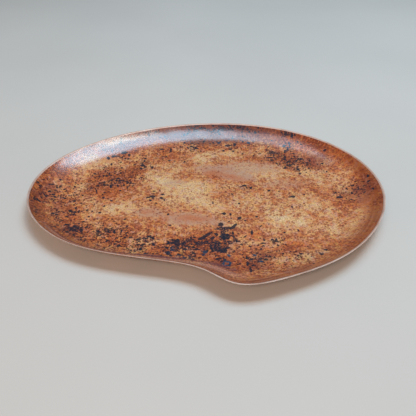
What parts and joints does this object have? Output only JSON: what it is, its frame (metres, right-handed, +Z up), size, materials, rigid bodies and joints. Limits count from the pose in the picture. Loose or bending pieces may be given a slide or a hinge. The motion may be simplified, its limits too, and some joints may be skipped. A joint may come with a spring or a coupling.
{
  "type": "serving tray",
  "caption": "Shallow kidney-shaped copper serving tray: flat floor, wall curving up all round to a level bright rim, mottled flame patina under clear lacquer.",
  "frame": {"origin": "centre of the tray's length and depth, on the flat underside", "axes": "+X along the long side, towards the rounder right end; +Y towards the unbroken back edge, away from the notch and lobe; +Z up, out of the dish"},
  "size_m": [0.359, 0.2786, 0.017],
  "materials": {
    "copper": "copper with a mottled orange and near-black flame patina under clear lacquer; bare bright metal on the rim's cut edge"
  },
  "bodies": {
    "root": {"copper_tray": "copper"}
  },
  "joints": []
}
